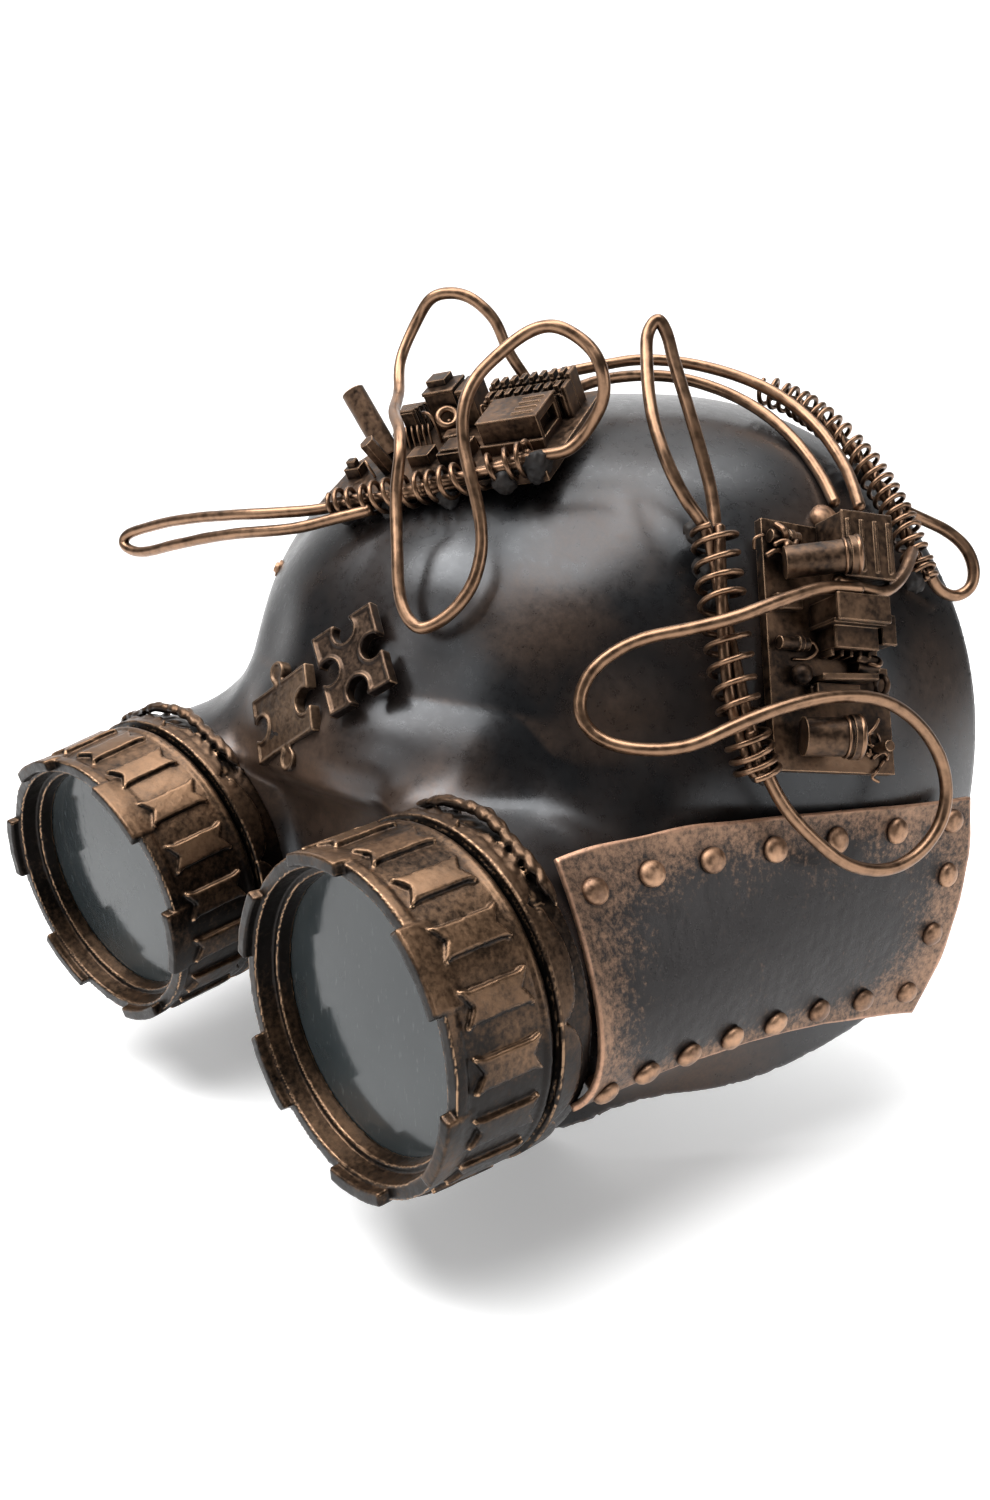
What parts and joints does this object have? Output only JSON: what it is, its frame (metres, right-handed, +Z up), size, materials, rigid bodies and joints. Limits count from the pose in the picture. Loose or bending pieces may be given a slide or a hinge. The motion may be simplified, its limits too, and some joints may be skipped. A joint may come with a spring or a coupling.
{
  "type": "steampunk goggle half mask",
  "caption": "Moulded forehead and temple mask with protruding goggles whose ribbed lens rings unscrew, riveted cheek plates, jigsaw trims, circuit clusters, coil springs and copper wire loops.",
  "frame": {"origin": "centre of the rear opening at eye level, in the plane of the shell's rear edge", "axes": "+Z up, -Y the way the goggles look, +X to the wearer's left"},
  "size_m": [0.1921, 0.1302, 0.1662],
  "materials": {
    "shell_black": "satin black with a blue-grey sheen and rubbed copper patches",
    "plate_bronze": "speckled antique copper paint over black",
    "goggle_bronze": "antique copper paint, brushed bright on raised edges",
    "rivet_copper": "rubbed copper paint",
    "puzzle_copper": "antique copper paint with bright edges",
    "circuit_bronze": "dark antique copper paint",
    "wire_copper": "satin antique copper",
    "spring_copper": "satin antique copper",
    "lens_grey": "smoke-grey acrylic, lightly scratched",
    "gasket_rubber": "black rubber"
  },
  "bodies": {
    "mask": {"shell": "shell_black", "cheek_plate_left": "plate_bronze", "cheek_plate_right": "plate_bronze", "plate_rivets_left": "rivet_copper", "plate_rivets_right": "rivet_copper", "goggle_cup_left": "goggle_bronze", "goggle_cup_right": "goggle_bronze", "puzzle_piece_lower": "puzzle_copper", "puzzle_piece_upper": "puzzle_copper", "brow_stud": "rivet_copper", "forehead_board": "circuit_bronze", "forehead_capacitor": "circuit_bronze", "forehead_fuse": "circuit_bronze", "forehead_relay": "circuit_bronze", "forehead_socket": "circuit_bronze", "forehead_pin_headers": "circuit_bronze", "forehead_chips": "circuit_bronze", "temple_board": "circuit_bronze", "temple_slot_connector": "circuit_bronze", "temple_capacitor_upper": "circuit_bronze", "temple_capacitor_lower": "circuit_bronze", "temple_relay": "circuit_bronze", "temple_small_parts": "circuit_bronze", "temple_eyelet": "circuit_bronze", "forehead_spring": "spring_copper", "temple_spring": "spring_copper", "crown_spring": "spring_copper", "wire_forehead_loops": "wire_copper", "wire_side_loop": "wire_copper", "wire_crown_upper": "wire_copper", "wire_crown_lower": "wire_copper", "wire_tall_loop": "wire_copper", "wire_temple_loops": "wire_copper", "wire_rear_loop": "wire_copper", "wire_connector_link": "wire_copper"},
    "left_ring": {"lens_ring_left": "goggle_bronze"},
    "right_ring": {"lens_ring_right": "goggle_bronze"},
    "left_lens": {"lens_left": "lens_grey", "lens_gasket_left": "gasket_rubber"},
    "right_lens": {"lens_right": "lens_grey", "lens_gasket_right": "gasket_rubber"}
  },
  "joints": [
    {"name": "left_lens_slide", "type": "slide", "parent": "mask", "child": "left_lens", "axis": [-0.075, -0.9972, 0], "range_m": [0, 0.00601]},
    {"name": "left_ring_turn", "type": "hinge", "parent": "left_lens", "child": "left_ring", "pos_m": [0.04, -0.124, 0], "axis": [-0.075, -0.9972, 0], "range_deg": [0, 720]},
    {"name": "right_lens_slide", "type": "slide", "parent": "mask", "child": "right_lens", "axis": [0.0744, -0.9891, -0.1271], "range_m": [0, 0.00601]},
    {"name": "right_ring_turn", "type": "hinge", "parent": "right_lens", "child": "right_ring", "pos_m": [-0.04, -0.124, 0], "axis": [0.0744, -0.9891, -0.1271], "range_deg": [0, 720]}
  ],
  "couplings": [
    {"joint": "left_lens_slide", "follows": "left_ring_turn", "m_per_rad": 0.00047746},
    {"joint": "right_lens_slide", "follows": "right_ring_turn", "m_per_rad": 0.00047746}
  ]
}
